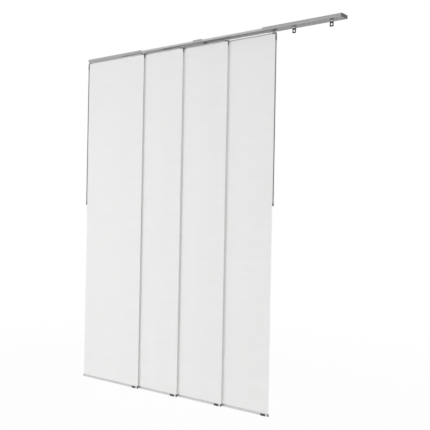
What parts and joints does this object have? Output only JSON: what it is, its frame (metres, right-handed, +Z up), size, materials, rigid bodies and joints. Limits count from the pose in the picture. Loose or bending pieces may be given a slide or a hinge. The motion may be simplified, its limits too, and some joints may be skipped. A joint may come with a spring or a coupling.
{
  "type": "panel track blind",
  "caption": "Ceiling-mounted panel track blind: telescoping multi-channel aluminium track with wide pale fabric panels that slide past each other, drawn by wands at both ends.",
  "frame": {"origin": "on the ceiling plane, at the middle of the extended track, midway between the connector's ceiling screws", "axes": "+X along the track to the right, -Y towards the room, +Z up"},
  "size_m": [2.1847, 0.0753, 2.4391],
  "materials": {
    "track_aluminium": "satin anodised",
    "rail_aluminium": "satin anodised",
    "bar_aluminium": "satin anodised, pale",
    "screw_steel": "zinc plated",
    "end_cap_plastic": "fine moulded",
    "dark_plastic": "fine moulded",
    "grey_plastic": "fine moulded",
    "hook_grey": "fine moulded",
    "white_nylon": "smooth moulded",
    "woven_fabric": "plain woven, slightly translucent",
    "wand_grey": "satin grey"
  },
  "bodies": {
    "left_track": {"left_outer_track": "track_aluminium", "left_end_cap": "end_cap_plastic"},
    "inner_track": {"centre_connector": "track_aluminium", "connector_screws": "screw_steel", "inner_rail_1": "rail_aluminium", "inner_rail_2": "rail_aluminium", "inner_rail_3": "rail_aluminium", "inner_rail_4": "rail_aluminium"},
    "right_track": {"right_outer_track": "track_aluminium", "right_end_cap": "end_cap_plastic"},
    "panel_1": {"panel_1_gliders": "white_nylon", "panel_1_hangers": "grey_plastic", "panel_1_left_hook": "hook_grey", "panel_1_right_hook": "hook_grey", "panel_1_top_rail": "bar_aluminium", "panel_1_fabric": "woven_fabric", "panel_1_bottom_bar": "bar_aluminium", "panel_1_bar_caps": "dark_plastic", "panel_1_bar_clip": "dark_plastic"},
    "panel_2": {"panel_2_gliders": "white_nylon", "panel_2_hangers": "grey_plastic", "panel_2_left_hook": "hook_grey", "panel_2_right_hook": "hook_grey", "panel_2_top_rail": "bar_aluminium", "panel_2_fabric": "woven_fabric", "panel_2_bottom_bar": "bar_aluminium", "panel_2_bar_caps": "dark_plastic", "panel_2_bar_clip": "dark_plastic"},
    "panel_3": {"panel_3_gliders": "white_nylon", "panel_3_hangers": "grey_plastic", "panel_3_left_hook": "hook_grey", "panel_3_right_hook": "hook_grey", "panel_3_top_rail": "bar_aluminium", "panel_3_fabric": "woven_fabric", "panel_3_bottom_bar": "bar_aluminium", "panel_3_bar_caps": "dark_plastic", "panel_3_bar_clip": "dark_plastic"},
    "panel_4": {"panel_4_gliders": "white_nylon", "panel_4_hangers": "grey_plastic", "panel_4_left_hook": "hook_grey", "panel_4_right_hook": "hook_grey", "panel_4_top_rail": "bar_aluminium", "panel_4_fabric": "woven_fabric", "panel_4_bottom_bar": "bar_aluminium", "panel_4_bar_caps": "dark_plastic", "panel_4_bar_clip": "dark_plastic"},
    "left_wand": {"left_wand_clevis": "dark_plastic", "left_wand_pin": "screw_steel", "left_wand_rod": "wand_grey", "left_wand_tip": "dark_plastic"},
    "right_wand": {"right_wand_clevis": "dark_plastic", "right_wand_pin": "screw_steel", "right_wand_rod": "wand_grey", "right_wand_tip": "dark_plastic"},
    "spare_a": {"spare_a_glider": "white_nylon", "spare_a_hanger": "grey_plastic"},
    "spare_b": {"spare_b_glider": "white_nylon", "spare_b_hanger": "grey_plastic"}
  },
  "joints": [
    {"name": "inner_track_slide", "type": "slide", "parent": "left_track", "child": "inner_track", "axis": [1, 0, 0], "range_m": [-0.482, 0]},
    {"name": "right_track_slide", "type": "slide", "parent": "inner_track", "child": "right_track", "axis": [1, 0, 0], "range_m": [-0.482, 0]},
    {"name": "panel_1_slide", "type": "slide", "parent": "left_track", "child": "panel_1", "axis": [1, 0, 0], "range_m": [0, 1.583]},
    {"name": "panel_2_slide", "type": "slide", "parent": "left_track", "child": "panel_2", "axis": [1, 0, 0], "range_m": [-0.361, 1.225]},
    {"name": "panel_3_slide", "type": "slide", "parent": "left_track", "child": "panel_3", "axis": [1, 0, 0], "range_m": [-0.737, 0.495]},
    {"name": "panel_4_slide", "type": "slide", "parent": "left_track", "child": "panel_4", "axis": [1, 0, 0], "range_m": [-1.099, 0.487]},
    {"name": "spare_a_slide", "type": "slide", "parent": "right_track", "child": "spare_a", "axis": [1, 0, 0], "range_m": [0, 0.115]},
    {"name": "spare_b_slide", "type": "slide", "parent": "right_track", "child": "spare_b", "axis": [1, 0, 0], "range_m": [-0.11, 0.07]},
    {"name": "left_wand_swing", "type": "hinge", "parent": "panel_1", "child": "left_wand", "pos_m": [-1.088, -0.0335, -0.053], "axis": [0, 1, 0], "range_deg": [0, 60]},
    {"name": "right_wand_swing", "type": "hinge", "parent": "panel_4", "child": "right_wand", "pos_m": [0.604, 0.0205, -0.053], "axis": [0, -1, 0], "range_deg": [0, 60]}
  ]
}
